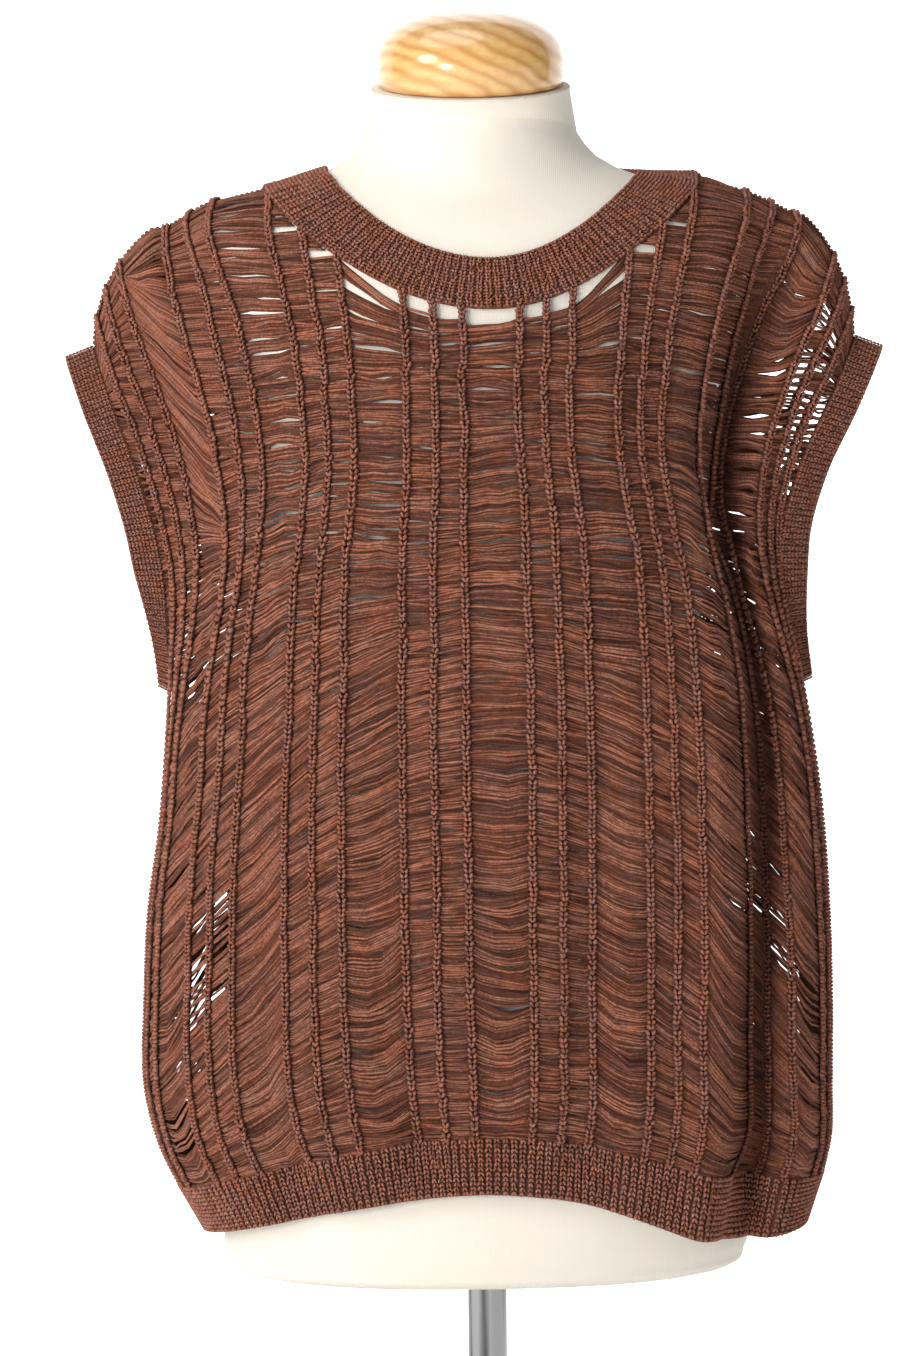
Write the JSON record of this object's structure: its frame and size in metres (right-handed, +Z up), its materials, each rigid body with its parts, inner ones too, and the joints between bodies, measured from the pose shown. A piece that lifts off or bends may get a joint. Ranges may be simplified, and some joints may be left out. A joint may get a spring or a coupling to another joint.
{
  "type": "knitted sweater vest on a dress form with stand",
  "caption": "Loose sleeveless pullover in a ladder-stitch knit with ribbed neck, armholes and hem, worn by a dress form with a wooden neck cap on a pole and round base.",
  "frame": {"origin": "middle of the base's flat underside, on the pole's axis", "axes": "+Z up along the pole, the vest's front at -Y, +X to the wearer's left hand"},
  "size_m": [0.5241, 0.29, 1.0115],
  "materials": {
    "knit": "reddish-brown mohair-like yarn, open knit",
    "rib": "reddish-brown yarn, ribbed",
    "jersey": "cream jersey cover",
    "pine": "glossy varnished pine",
    "chrome": "polished",
    "steel": "satin"
  },
  "bodies": {
    "root": {"front": "knit", "back": "knit", "neckband": "rib", "hem_rib": "rib", "armband_right_hand": "rib", "armband_left_hand": "rib", "form_body": "jersey", "neck_cap": "pine", "pole": "chrome", "base": "steel"}
  },
  "joints": []
}
